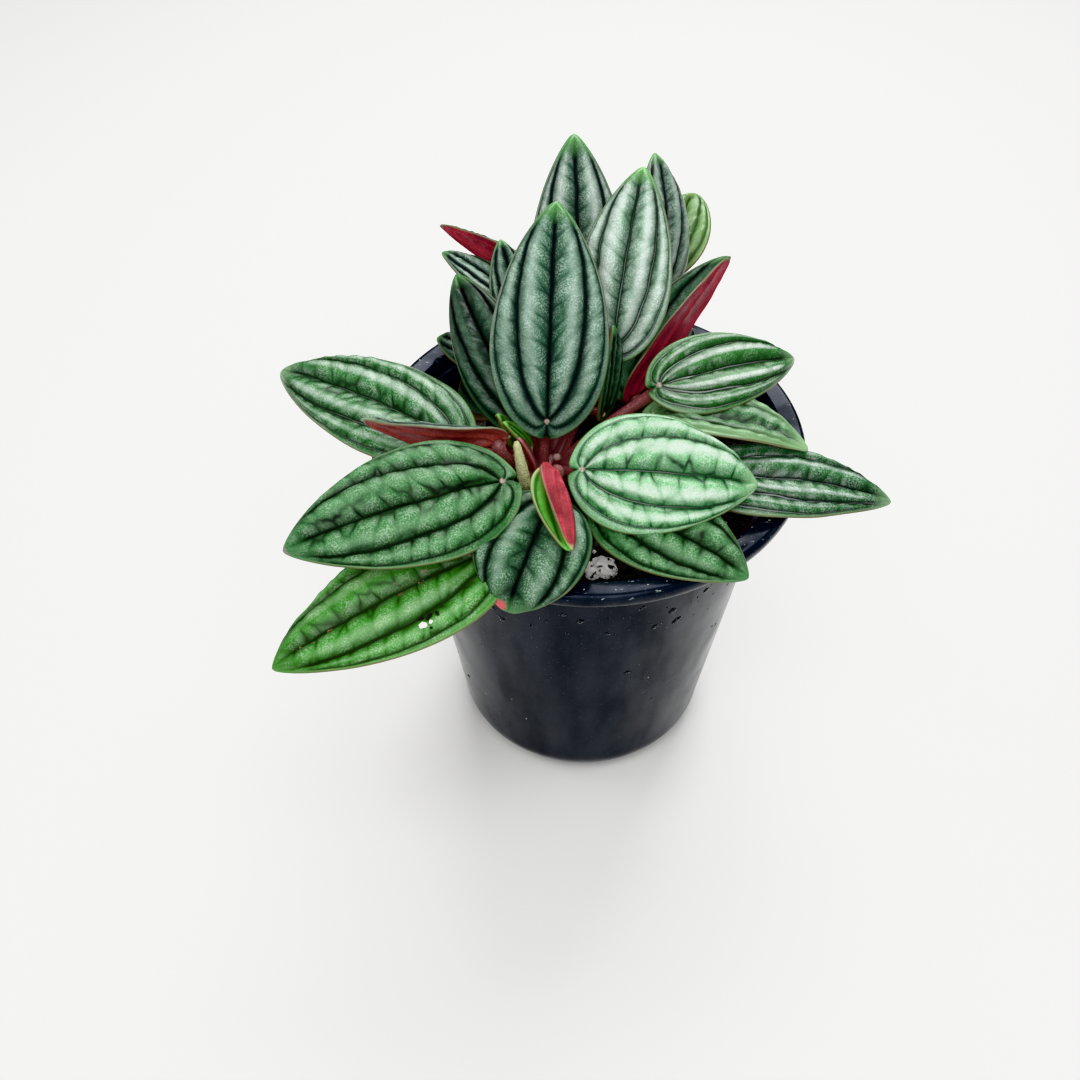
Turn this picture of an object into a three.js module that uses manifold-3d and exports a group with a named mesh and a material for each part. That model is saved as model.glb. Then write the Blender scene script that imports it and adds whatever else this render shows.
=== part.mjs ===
// Potted peperomia: ribbed green leaves with maroon backs, in a tapered black nursery pot.
// Millimetres, +Z up. The origin is the centre of the flat base that the pot rests on.
import * as THREE from 'three';
import { mergeVertices } from 'three/addons/utils/BufferGeometryUtils.js';
import Module from 'manifold-3d';

const wasm = await Module();
wasm.setup();

// ---------------------------------------------------------------- driving dimensions
const clearance = 0.3; // gap between pieces that rest on each other

const pot = {
  height: 82,
  rimRadius: 45, // a 9 cm pot
  rimInner: 40.5,
  lipHeight: 3.8,
  wallRadiusTop: 39.6, // outer wall, carried up to the rim's height
  wallRadiusBase: 27.3, // outer wall, carried down to the base's height
  wall: 1.1,
  cornerRadius: 8,
  ledgeDepth: 5, // the stacking ledge, below the rim
  notches: 6, // drain notches round the bottom corner
  notchWidth: 16,
  notchHeight: 3,
  notchInner: 21,
  notchTurn: -102, // heading of the first notch
  sides: 48,
};

const soil = { top: 72, lump: 0.6, rings: 6, sides: 30 };

const crownStem = { radius: 4.2, bottom: 58, top: 76, sides: 10 };
const crowns = { main: [-8, -2], side: [2, 24] };

const blade = {
  thickness: 1.1,
  columns: [-1, -0.84, -0.67, -0.5, -0.25, 0, 0.25, 0.5, 0.67, 0.84, 1],
  rows: 8,
  smallColumns: [-1, -0.75, -0.4, 0, 0.4, 0.75, 1],
  smallRows: 6,
  smallLength: 27, // shorter blades take the small grid
  lobe: 0.09, // how far the rounded base reaches behind the stalk, per length
  shoulder: 1.6, // how slowly the margin leaves the base
  taper: 0.8, // how full the blade stays towards its tip
  spread: 0.07, // how soon the veins fan out from the stalk
  ridge: 0.035, // height of the ridges between the veins, per width
};

const stalk = {
  radius: 1.15,
  perWidth: 0.09, // a narrow blade's stalk has this radius, per width of the blade
  thinnest: 0.6,
  hook: 7, // the last stretch, which runs square to the blade
  gap: 0.45, // between the stalk's end and its blade
  lowest: 74,
  sides: 6,
  steps: 7,
};

const colours = {
  plastic: 0x14171f,
  peat: 0x2b211b,
  perlite: 0xe6e2da,
  silver: 0x5f8f6c,
  deep: 0x2f5a3c,
  bright: 0x3f8f3a,
  lime: 0x7cc04a,
  maroon: 0x6e2230,
  spike: 0xc3cf8c,
  coral: 0xc44a50,
};

// Each leaf: where its stalk meets the blade, then the heading and pitch of the line from there
// to the tip, in degrees. A positive roll turns the upper face to the leaf's right. Bow, fold
// and curl bend the blade: its back arches, its halves rise in a V, its halves curve up.
// Rise and hook shape the stalk: how steeply it leaves its crown, and its square last stretch.
const leaves = [
  { name: 'leaf_01', at: [-8.5, -4, 89], heading: 89, pitch: 49, length: 44, width: 24 },
  {
    name: 'leaf_02', tone: 'deep', at: [-2.5, 22, 88], heading: 96, pitch: 56, length: 44,
    width: 21, rise: 0.1, hook: 9,
  },
  { name: 'leaf_03', at: [4.5, 14.5, 93.5], heading: 78, pitch: 51, length: 37.5, width: 20 },
  {
    name: 'leaf_04', tone: 'deep', at: [15, 37.5, 93], heading: 95, pitch: 39, length: 30,
    width: 15, roll: 35, crown: 'side', rise: 0.6,
  },
  {
    name: 'leaf_05', tone: 'lime', at: [17, 50, 88], heading: 74, pitch: 22, length: 22,
    width: 17, roll: -15, fold: 20, crown: 'side', rise: 0.45, hook: 7,
  },
  {
    name: 'leaf_06', at: [9, 14, 82], heading: 56, pitch: 21, length: 39.5, width: 21, roll: -38,
    fold: 68, curl: -0.4, bow: -0.05, crown: 'side',
  },
  {
    name: 'leaf_07', at: [14, 3.5, 93], heading: 22, pitch: -2, length: 31, width: 18, roll: 22,
    hook: 3,
  },
  {
    name: 'leaf_08', at: [13, 1.5, 86.5], heading: -16, pitch: 1, length: 32.5, width: 18,
    roll: -8, fold: 12,
  },
  { name: 'leaf_09', at: [22, -14.5, 85], heading: 0, pitch: -7, length: 39.5, width: 19, roll: 6 },
  { name: 'leaf_10', at: [-1, -21, 92], heading: -2, pitch: -2, length: 34, width: 25, roll: 26 },
  {
    name: 'leaf_11', tone: 'deep', at: [3.5, -23, 86], heading: -30, pitch: -6, length: 32,
    width: 20, roll: 15,
  },
  {
    name: 'leaf_12', tone: 'deep', at: [-6.5, -25.5, 88.3], heading: -107, pitch: -10,
    length: 26.5, width: 20.5, roll: -10, bow: 0.1,
  },
  {
    name: 'leaf_13', tone: 'bright', at: [-17, -37, 86], heading: -153, pitch: -15, length: 47,
    width: 25, roll: -8, bow: 0.04, rise: 0.1, hook: 3,
  },
  {
    name: 'leaf_14', at: [-16, -27, 94], heading: -157, pitch: -4, length: 43, width: 25,
    roll: -20, rise: 0.1, hook: 12,
  },
  {
    name: 'leaf_15', at: [-18, -14.5, 94], heading: 168, pitch: -2, length: 27.5, width: 17,
    roll: 52, fold: 18, bow: -0.1, hook: 6,
  },
  { name: 'leaf_16', at: [-27, -6, 85], heading: 151, pitch: -2, length: 46, width: 23, roll: -14 },
  {
    name: 'leaf_17', tone: 'deep', at: [-13, 1, 84], heading: 120, pitch: 26, length: 37,
    width: 16, roll: -30,
  },
  { name: 'leaf_18', at: [-15.5, 24, 90], heading: 108, pitch: 39, length: 20.5, width: 10 },
  {
    name: 'leaf_19', at: [-11, 40, 93], heading: 149, pitch: 6, length: 28, width: 11, roll: 70,
    bow: -0.03, rise: 0.1,
  },
  {
    name: 'leaf_20', tone: 'deep', at: [-15.5, 31.5, 90], heading: 142, pitch: 11, length: 24,
    width: 12, roll: 10,
  },
  {
    name: 'leaf_21', tone: 'deep', at: [-19.5, 19.5, 84], heading: 155, pitch: 7, length: 16,
    width: 12, rise: 0.6,
  },
  {
    name: 'leaf_22', tone: 'deep', at: [-19, 13, 77], heading: 126, pitch: 4, length: 14.5,
    width: 14, roll: -20, rise: 0.1, hook: 2.5,
  },
  {
    name: 'leaf_23', tone: 'deep', at: [3, 2, 86], heading: 81, pitch: 55, length: 18.5,
    width: 8, roll: 70,
  },
  { name: 'leaf_24', at: [16, 22, 83], heading: 62, pitch: 9, length: 13, width: 8, crown: 'side' },
  {
    name: 'leaf_25', tone: 'deep', at: [-5, 28, 84], heading: 97, pitch: -4, length: 36,
    width: 18, crown: 'side',
  },
  {
    name: 'young_1', tone: 'coral', at: [-6.6, -26, 96], heading: -77, pitch: -14, length: 17,
    width: 12, roll: 62, fold: 67, curl: -0.4, bow: -0.1, rise: 0.1, hook: 2,
  },
  {
    name: 'young_2', tone: 'lime', at: [-15.5, -3.5, 82], heading: 172, pitch: 70, length: 8.5,
    width: 4,
  },
  {
    name: 'young_3', tone: 'lime', at: [-11.5, -5.5, 83], heading: 180, pitch: 52, length: 9,
    width: 4.5,
  },
  {
    name: 'young_4', tone: 'lime', at: [-16.5, 3.5, 79], heading: 133, pitch: 31, length: 13.5,
    width: 6, roll: 60,
  },
  {
    name: 'bract', tone: 'maroon', at: [-10, -14, 84], heading: 154, pitch: 64, length: 9,
    width: 4, roll: 40,
  },
];

// The flower spike, from its foot up, and the stump of a stalk that was cut off.
const spike = { at: [-12, -18.5, 84], heading: 118, pitch: 63, length: 10, radius: 1.5, width: 8 };
const cutStalk = [[-7, -4, 73], [-6.3, -5.6, 81]];

// ---------------------------------------------------------------- helpers
const degrees = (angle) => (angle * Math.PI) / 180;

function material(colour, roughness, metalness = 0) {
  return new THREE.MeshStandardMaterial({ color: colour, roughness, metalness });
}

function indexedGeometry(points, triangles) {
  const geometry = new THREE.BufferGeometry();
  const numbers = points.flatMap((point) => point.toArray());
  geometry.setAttribute('position', new THREE.Float32BufferAttribute(numbers, 3));
  geometry.setIndex(triangles.flat());
  return geometry;
}

function toSolid(geometry) {
  const bare = geometry.clone();
  bare.deleteAttribute('normal');
  bare.deleteAttribute('uv');
  const merged = mergeVertices(bare);
  return new wasm.Manifold(new wasm.Mesh({
    numProp: 3,
    vertProperties: new Float32Array(merged.attributes.position.array),
    triVerts: new Uint32Array(merged.index.array),
  }));
}

function toGeometry(solid) {
  const mesh = solid.getMesh();
  const geometry = new THREE.BufferGeometry();
  geometry.setAttribute('position', new THREE.BufferAttribute(new Float32Array(mesh.vertProperties), 3));
  geometry.setIndex(new THREE.BufferAttribute(new Uint32Array(mesh.triVerts), 1));
  return geometry;
}

// A turned shape about the Z axis, from [radius, height] points.
function turned(profile, sides) {
  const geometry = new THREE.LatheGeometry(profile.map(([r, z]) => new THREE.Vector2(r, z)), sides);
  return geometry.rotateX(Math.PI / 2);
}

// ---------------------------------------------------------------- pot
const wallSlope = (pot.wallRadiusTop - pot.wallRadiusBase) / pot.height;
const outerRadius = (z) => pot.wallRadiusBase + wallSlope * z;

// Points of the wall's line at a distance inside the outer face, round the bottom corner.
function wallLine(inset, top, cornerSteps = 4) {
  const radius = pot.cornerRadius - inset;
  const centre = [outerRadius(pot.cornerRadius) - pot.cornerRadius, pot.cornerRadius];
  const points = [];
  for (let step = 0; step <= cornerSteps; step += 1) {
    const angle = degrees(-90 + (90 * step) / cornerSteps);
    points.push([centre[0] + radius * Math.cos(angle), centre[1] + radius * Math.sin(angle)]);
  }
  points.push([outerRadius(top) - inset, top]);
  return points;
}

function potGeometry() {
  const { height, rimRadius, rimInner, lipHeight, wall, ledgeDepth } = pot;
  const lipBottom = height - lipHeight;
  const ledge = height - ledgeDepth;
  const outside = wallLine(0, lipBottom);
  const inside = wallLine(wall, ledge).reverse();
  const rim = [
    [rimRadius - 1.4, lipBottom],
    [rimRadius - 0.3, lipBottom + 0.8],
    [rimRadius, height - 1],
    [rimRadius - 0.6, height - 0.2],
    [rimRadius - 1.4, height],
    [rimInner + 0.5, height],
    [rimInner, height - 0.5],
  ];
  const profile = [[0, 0], ...outside, ...rim, ...inside, [0, wall]];
  let body = toSolid(turned(profile, pot.sides));
  for (let notch = 0; notch < pot.notches; notch += 1) {
    const reach = rimRadius - pot.notchInner;
    const cutter = new THREE.BoxGeometry(reach, pot.notchWidth, 2 * pot.notchHeight);
    cutter.translate(pot.notchInner + reach / 2, 0, 0);
    cutter.rotateZ(degrees(pot.notchTurn + (360 * notch) / pot.notches));
    body = body.subtract(toSolid(cutter));
  }
  return toGeometry(body);
}

// ---------------------------------------------------------------- soil and perlite
const soilLump = (x, y) =>
  soil.lump * (Math.sin(x * 0.31 + 1.2) * Math.cos(y * 0.27) + 0.5 * Math.sin(x * 0.7 - y * 0.6));

const perliteGrains = [
  { name: 'perlite_1', at: [3.5, -29, 72.8], size: [3.3, 2.4, 2.3], turn: 20 },
  { name: 'perlite_2', at: [27, -16, 72.4], size: [2, 1.6, 1.5], turn: 70 },
  { name: 'perlite_3', at: [-24, 14, 72.4], size: [1.8, 2.3, 1.5], turn: 10 },
  { name: 'perlite_4', at: [20, 24, 72.4], size: [2.2, 1.7, 1.6], turn: 40 },
];

// A lumpy grain: a faceted ball, swollen and pinched by a formula.
function grainGeometry({ at, size, turn }, grow = 0) {
  const geometry = new THREE.IcosahedronGeometry(1, 1);
  const position = geometry.attributes.position;
  for (let i = 0; i < position.count; i += 1) {
    const p = new THREE.Vector3().fromBufferAttribute(position, i);
    const swell = 1 + 0.1 * Math.sin(5 * p.x + 2 * p.z) + 0.08 * Math.cos(6 * p.y - 3 * p.x);
    p.set(p.x * (size[0] * swell + grow), p.y * (size[1] * swell + grow), p.z * (size[2] * swell + grow));
    position.setXYZ(i, p.x, p.y, p.z);
  }
  return geometry.rotateZ(degrees(turn)).translate(...at);
}

function soilGeometry() {
  const line = wallLine(pot.wall + clearance, soil.top);
  const rim = line[line.length - 1][0];
  const surface = [];
  for (let ring = soil.rings - 1; ring >= 0; ring -= 1) {
    surface.push([(rim * ring) / soil.rings, soil.top]);
  }
  const geometry = turned([[0, pot.wall + clearance], ...line, ...surface], soil.sides);
  const position = geometry.attributes.position;
  for (let i = 0; i < position.count; i += 1) {
    const [x, y, z] = [position.getX(i), position.getY(i), position.getZ(i)];
    if (z > soil.top - 1 && Math.hypot(x, y) < rim - 1) position.setZ(i, z + soilLump(x, y));
  }
  let body = toSolid(geometry);
  for (const [x, y] of Object.values(crowns)) {
    const radius = crownStem.radius + clearance;
    const bottom = crownStem.bottom - clearance;
    const top = soil.top + 5;
    const hole = turned([[0, bottom], [radius, bottom], [radius, top], [0, top]], crownStem.sides);
    body = body.subtract(toSolid(hole.translate(x, y, 0)));
  }
  for (const grain of perliteGrains) {
    body = body.subtract(toSolid(grainGeometry(grain, clearance)));
  }
  return toGeometry(body);
}

// ---------------------------------------------------------------- leaf blades
function leafFrame(leaf) {
  const heading = degrees(leaf.heading);
  const pitch = degrees(leaf.pitch);
  const roll = degrees(leaf.roll ?? 0);
  const along = new THREE.Vector3(
    Math.cos(pitch) * Math.cos(heading), Math.cos(pitch) * Math.sin(heading), Math.sin(pitch));
  const level = new THREE.Vector3(-Math.sin(heading), Math.cos(heading), 0);
  const up = new THREE.Vector3().crossVectors(along, level);
  const left = level.clone().multiplyScalar(Math.cos(roll)).addScaledVector(up, Math.sin(roll));
  const normal = level.clone().multiplyScalar(-Math.sin(roll)).addScaledVector(up, Math.cos(roll));
  return { at: new THREE.Vector3(...leaf.at), along, left, normal };
}

// The flat outline: column -1..1 runs across the blade, t runs from the stalk to the tip.
function flatPoint(leaf, column, t) {
  const reach = leaf.length * blade.lobe;
  const peak = 1 / (1 + blade.taper);
  const fullness = (t * (1 - t) ** blade.taper) / (peak * (1 - peak) ** blade.taper);
  const fan = Math.abs(column) === 1 ? 1 : Math.abs(column) * (1 - Math.exp(-t / blade.spread));
  const margin = -reach + (leaf.length + reach) * t ** blade.shoulder;
  const middle = leaf.length * t ** 1.3;
  return {
    x: Math.sign(column) * fan * fullness * leaf.width * 0.5,
    y: (1 - fan * fan) * middle + fan * fan * margin,
  };
}

// The flat blade bent to its living shape, in the leaf's own axes: left, along, normal.
function bent(leaf, x, y) {
  const { bow = 0.06, fold = 8, curl = -1.6 } = leaf;
  const turn = degrees(curl); // per millimetre from the midrib
  const start = degrees(fold);
  const end = start + turn * Math.abs(x);
  const side = Math.sign(x) * (Math.sin(end) - Math.sin(start)) / turn;
  const rise = (Math.cos(start) - Math.cos(end)) / turn;
  const share = y / leaf.length;
  const arch = 4 * share * (1 - share) * leaf.length;
  return new THREE.Vector3(side, y, rise + arch * bow);
}

function bentNormal(leaf, x, y) {
  const step = 0.05;
  const across = bent(leaf, x + step, y).sub(bent(leaf, x - step, y));
  const ahead = bent(leaf, x, y + step).sub(bent(leaf, x, y - step));
  return across.cross(ahead).normalize();
}

const onVein = (column) => [0, 0.5, 0.84, 1].includes(Math.abs(column));

function bladeGeometry(leaf) {
  const small = leaf.length < blade.smallLength;
  const columns = small ? blade.smallColumns : blade.columns;
  const rows = small ? blade.smallRows : blade.rows;
  const last = columns.length - 1;
  const frame = leafFrame(leaf);
  const points = [];
  const place = (p) => frame.at.clone()
    .addScaledVector(frame.left, -p.x).addScaledVector(frame.along, p.y).addScaledVector(frame.normal, p.z);
  const addPoint = (column, t) => {
    const { x, y } = flatPoint(leaf, column, t);
    const normal = bentNormal(leaf, x, y);
    const ridge = small || onVein(column) ? 0 : blade.ridge * leaf.width * Math.sin(Math.PI * t) ** 0.5;
    const surface = bent(leaf, x, y).addScaledVector(normal, ridge);
    points.push(place(surface), place(surface.addScaledVector(normal, -blade.thickness)));
    return points.length - 2; // the upper point; the lower one follows it
  };
  const stalkPoint = addPoint(0, 0);
  const backPoint = addPoint(1, 0);
  const tipPoint = addPoint(0, 1);
  const grid = [columns.map((c, j) => (j === 0 || j === last ? backPoint : stalkPoint))];
  for (let row = 1; row < rows; row += 1) {
    grid.push(columns.map((column) => addPoint(column, row / rows)));
  }
  grid.push(columns.map(() => tipPoint));

  const triangles = [];
  const addTriangle = (a, b, c) => {
    if (a !== b && b !== c && c !== a) triangles.push([a, b, c]);
  };
  for (let i = 0; i < rows; i += 1) {
    for (let j = 0; j < last; j += 1) {
      const [a, b, c, d] = [grid[i][j], grid[i][j + 1], grid[i + 1][j + 1], grid[i + 1][j]];
      addTriangle(a, b, c);
      addTriangle(a, c, d);
      addTriangle(a + 1, c + 1, b + 1);
      addTriangle(a + 1, d + 1, c + 1);
    }
    for (const [edge, inward] of [[0, true], [last, false]]) {
      const [near, far] = [grid[i][edge], grid[i + 1][edge]];
      const [from, to] = inward ? [far, near] : [near, far];
      addTriangle(from, from + 1, to + 1);
      addTriangle(from, to + 1, to);
    }
  }
  return indexedGeometry(points, triangles);
}

// ---------------------------------------------------------------- crowns with their leaf stalks
function tubeSolid(path, radius) {
  const section = new THREE.Shape();
  for (let side = 0; side < stalk.sides; side += 1) {
    const angle = (2 * Math.PI * side) / stalk.sides;
    const corner = [radius * Math.cos(angle), radius * Math.sin(angle)];
    if (side === 0) section.moveTo(...corner);
    else section.lineTo(...corner);
  }
  section.closePath();
  const settings = { steps: stalk.steps, extrudePath: path, bevelEnabled: false };
  return toSolid(new THREE.ExtrudeGeometry(section, settings));
}

// A stalk from its crown to a point, arriving in the given direction.
function stalkSolid({ crown = 'main', rise = 0.35, hook = stalk.hook, width }, point, arrival) {
  const end = point.clone().addScaledVector(arrival, -stalk.gap);
  const root = new THREE.Vector3(...crowns[crown], crownStem.top - 2.5);
  const lean = end.clone().sub(root).setZ(0).normalize();
  const reach = Math.max(end.distanceTo(root), 8);
  root.addScaledVector(lean, 1.5);
  const leave = root.clone().addScaledVector(lean, 0.25 * reach);
  leave.z += rise * reach;
  const arrive = end.clone().addScaledVector(arrival, -Math.min(hook, 0.4 * reach));
  arrive.z = Math.max(arrive.z, stalk.lowest);
  const radius = THREE.MathUtils.clamp(stalk.perWidth * width, stalk.thinnest, stalk.radius);
  return tubeSolid(new THREE.CubicBezierCurve3(root, leave, arrive, end), radius);
}

// A leaf's stalk meets the underside of its blade square on.
function leafStalk(leaf) {
  const frame = leafFrame(leaf);
  const local = bentNormal(leaf, 0, 0);
  const normal = frame.along.clone().multiplyScalar(local.y).addScaledVector(frame.normal, local.z);
  return stalkSolid(leaf, frame.at.clone().addScaledVector(normal, -blade.thickness), normal);
}

function crownGeometry(name) {
  const [x, y] = crowns[name];
  const { radius, bottom, top, sides } = crownStem;
  const profile = [[0, bottom], [radius, bottom], [radius, top - 2], [radius * 0.6, top], [0, top]];
  const stem = turned(profile, sides);
  let body = toSolid(stem.translate(x, y, 0));
  for (const leaf of leaves) {
    if ((leaf.crown ?? 'main') === name) body = body.add(leafStalk(leaf));
  }
  if (name === 'main') {
    body = body.add(stalkSolid(spike, new THREE.Vector3(...spike.at), leafFrame(spike).along));
    const [from, to] = cutStalk.map((p) => new THREE.Vector3(...p));
    body = body.add(tubeSolid(new THREE.LineCurve3(from, to), stalk.radius));
  }
  return toGeometry(body);
}

function spikeGeometry() {
  const { at, heading, pitch, length, radius } = spike;
  const profile = [
    [0, 0], [0.6, 0], [0.95, 0.08], [1, 0.3], [0.75, 0.7], [0.55, 0.93], [0.3, 0.99], [0, 1],
  ];
  const geometry = turned(profile.map(([r, z]) => [r * radius, z * length]), 8);
  geometry.rotateY(degrees(90 - pitch)).rotateZ(degrees(heading));
  return geometry.translate(...at);
}

// ---------------------------------------------------------------- the whole part
const group = new THREE.Group();

function addPiece(name, geometry, finish) {
  const mesh = new THREE.Mesh(geometry, finish);
  mesh.name = name;
  group.add(mesh);
}

addPiece('pot', potGeometry(), material(colours.plastic, 0.2));
addPiece('soil', soilGeometry(), material(colours.peat, 0.95));
for (const grain of perliteGrains) {
  addPiece(grain.name, toGeometry(toSolid(grainGeometry(grain))), material(colours.perlite, 0.9));
}
for (const name of Object.keys(crowns)) {
  addPiece(`crown_${name}`, crownGeometry(name), material(colours.maroon, 0.5));
}
addPiece('flower_spike', toGeometry(toSolid(spikeGeometry())), material(colours.spike, 0.6));
for (const leaf of leaves) {
  addPiece(leaf.name, bladeGeometry(leaf), material(colours[leaf.tone ?? 'silver'], 0.4));
}

export default group;
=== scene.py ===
import math
from functools import partial

import bmesh
import bpy
import numpy as np
from mathutils import Matrix, Vector


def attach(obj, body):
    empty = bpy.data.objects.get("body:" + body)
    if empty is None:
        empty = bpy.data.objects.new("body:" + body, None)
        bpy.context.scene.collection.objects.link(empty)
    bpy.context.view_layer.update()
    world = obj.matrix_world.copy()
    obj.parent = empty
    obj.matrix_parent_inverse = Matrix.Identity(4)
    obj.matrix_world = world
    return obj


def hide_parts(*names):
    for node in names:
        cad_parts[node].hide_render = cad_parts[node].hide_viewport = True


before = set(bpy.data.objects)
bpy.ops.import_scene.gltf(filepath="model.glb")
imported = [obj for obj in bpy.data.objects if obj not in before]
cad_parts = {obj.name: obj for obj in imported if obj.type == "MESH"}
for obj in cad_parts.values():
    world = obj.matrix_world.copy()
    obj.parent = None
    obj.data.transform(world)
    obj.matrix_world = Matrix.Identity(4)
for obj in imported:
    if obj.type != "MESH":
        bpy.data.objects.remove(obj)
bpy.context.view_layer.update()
mm = 0.001  # the tables below are in millimetres, Blender is in metres
scene = bpy.context.scene


def srgb(hexText):  # an sRGB hex colour as linear RGBA
    channels = [int(hexText[i:i + 2], 16) / 255 for i in (0, 2, 4)]
    return [c / 12.92 if c <= 0.04045 else ((c + 0.055) / 1.055) ** 2.4 for c in channels] + [1.0]


def addNode(tree, kind, inputs=(), **settings):  # inputs by name, or in the order that the node shows them in
    node = tree.nodes.new(kind if "Node" in kind else "ShaderNode" + kind)
    for name, value in settings.items():
        setattr(node, name, value)
    if isinstance(inputs, dict):
        pairs = [(node.inputs[key], value) for key, value in inputs.items()]
    else:
        pairs = zip([socket for socket in node.inputs if socket.enabled], inputs)
    for socket, value in pairs:
        if isinstance(value, bpy.types.Node):  # a node stands for the first of its results
            value = next(result for result in value.outputs if result.enabled)
        if isinstance(value, bpy.types.NodeSocket):
            tree.links.new(value, socket)
        else:
            socket.default_value = value
    return node


def newMaterial(name):  # the material, and what adds a node to it
    material = bpy.data.materials.new(name)
    material.use_nodes = True
    material.node_tree.nodes.clear()
    return material, partial(addNode, material.node_tree)


# each layer is its shares, which are multiplied, and the colour that they lay over what is below;
# a share is a number, a node or a socket, or the five inputs of a Map Range
def painted(add, ground, layers):
    colour = srgb(ground)
    for shares, tint in layers:
        whole, *others = (add("MapRange", share) if isinstance(share, tuple) else share for share in shares)
        for share in others:
            whole = add("Math", [whole, share], operation="MULTIPLY")
        colour = add("Mix", [whole, colour, srgb(tint)], data_type="RGBA")
    return colour


def finishMaterial(add, colour, values, relief=None):  # relief: pattern, strength and depth in mm
    if relief:
        pattern, strength, depth = relief
        values["Normal"] = add("Bump", {"Strength": strength, "Distance": depth * mm, "Height": pattern})
    shader = add("BsdfPrincipled", {"Base Color": colour, **values})
    add("OutputMaterial", {"Surface": shader})


def newGeometryTree(name, inputs):  # the tree, what adds a node to it, and the sockets of its named inputs
    tree = bpy.data.node_groups.new(name, "GeometryNodeTree")
    tree.interface.new_socket("Geometry", in_out="INPUT", socket_type="NodeSocketGeometry")
    for label, kind in inputs.items():
        tree.interface.new_socket(label, in_out="INPUT", socket_type="NodeSocket" + kind)
    tree.interface.new_socket("Geometry", in_out="OUTPUT", socket_type="NodeSocketGeometry")
    add = partial(addNode, tree)
    return tree, add, add("NodeGroupInput").outputs


def runTree(source, tree, values):  # the tree's result as a plain mesh, and the source object removed
    modifier = source.modifiers.new(tree.name, "NODES")
    modifier.node_group = tree
    for item in tree.interface.items_tree:
        if item.item_type == "SOCKET" and item.in_out == "INPUT" and item.name in values:
            modifier[item.identifier] = values[item.name]
    graph = bpy.context.evaluated_depsgraph_get()
    mesh = bpy.data.meshes.new_from_object(
        source.evaluated_get(graph), preserve_all_data_layers=True, depsgraph=graph)
    source.modifiers.remove(modifier)
    bpy.data.objects.remove(source)
    return mesh


def linked(name, data):
    made = bpy.data.objects.new(name, data)
    scene.collection.objects.link(made)
    return made


def finishPiece(name, mesh, nodes, materials=()):
    for material in materials:
        mesh.materials.append(material)
    mesh.polygons.foreach_set("use_smooth", [True] * len(mesh.polygons))
    mesh.name = name
    piece = linked(name, mesh)
    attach(piece, "root")
    if nodes:
        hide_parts(*nodes)


def turnedMesh(name, profile, sides):  # [radius, height] points in mm, turned about Z
    points, faces, rings = [], [], []
    for radius, height in profile:
        if radius < 1e-6:
            rings.append([len(points)] * sides)
            points.append((0, 0, height * mm))
            continue
        rings.append(list(range(len(points), len(points) + sides)))
        for side in range(sides):
            angle = 2 * math.pi * side / sides
            points.append((radius * mm * math.cos(angle), radius * mm * math.sin(angle), height * mm))
    for low, high in zip(rings, rings[1:]):
        for side in range(sides):
            after = (side + 1) % sides
            corners = [low[side], low[after], high[after], high[side]]
            faces.append(list(dict.fromkeys(corners)))
    mesh = bpy.data.meshes.new(name)
    mesh.from_pydata(points, [], faces)
    return mesh


def cleaned(mesh, distance=1e-6):  # merged doubles, and faces that point outwards
    work = bmesh.new()
    work.from_mesh(mesh)
    bmesh.ops.remove_doubles(work, verts=work.verts, dist=distance)
    bmesh.ops.dissolve_degenerate(work, edges=work.edges, dist=distance)
    bmesh.ops.recalc_face_normals(work, faces=work.faces)
    work.to_mesh(mesh)
    work.free()
    return mesh


def ripple(seed, x, y, size):  # soft unevenness from -1 to 1, with humps about size apart
    draw = np.random.default_rng(seed)
    total = 0
    for _ in range(6):
        heading, phase = draw.uniform(0, 2 * math.pi, 2)
        step = 2 * math.pi / (size * draw.uniform(0.8, 1.8))
        total = total + np.sin(step * (x * math.cos(heading) + y * math.sin(heading)) + phase)
    return total / 3


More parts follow.
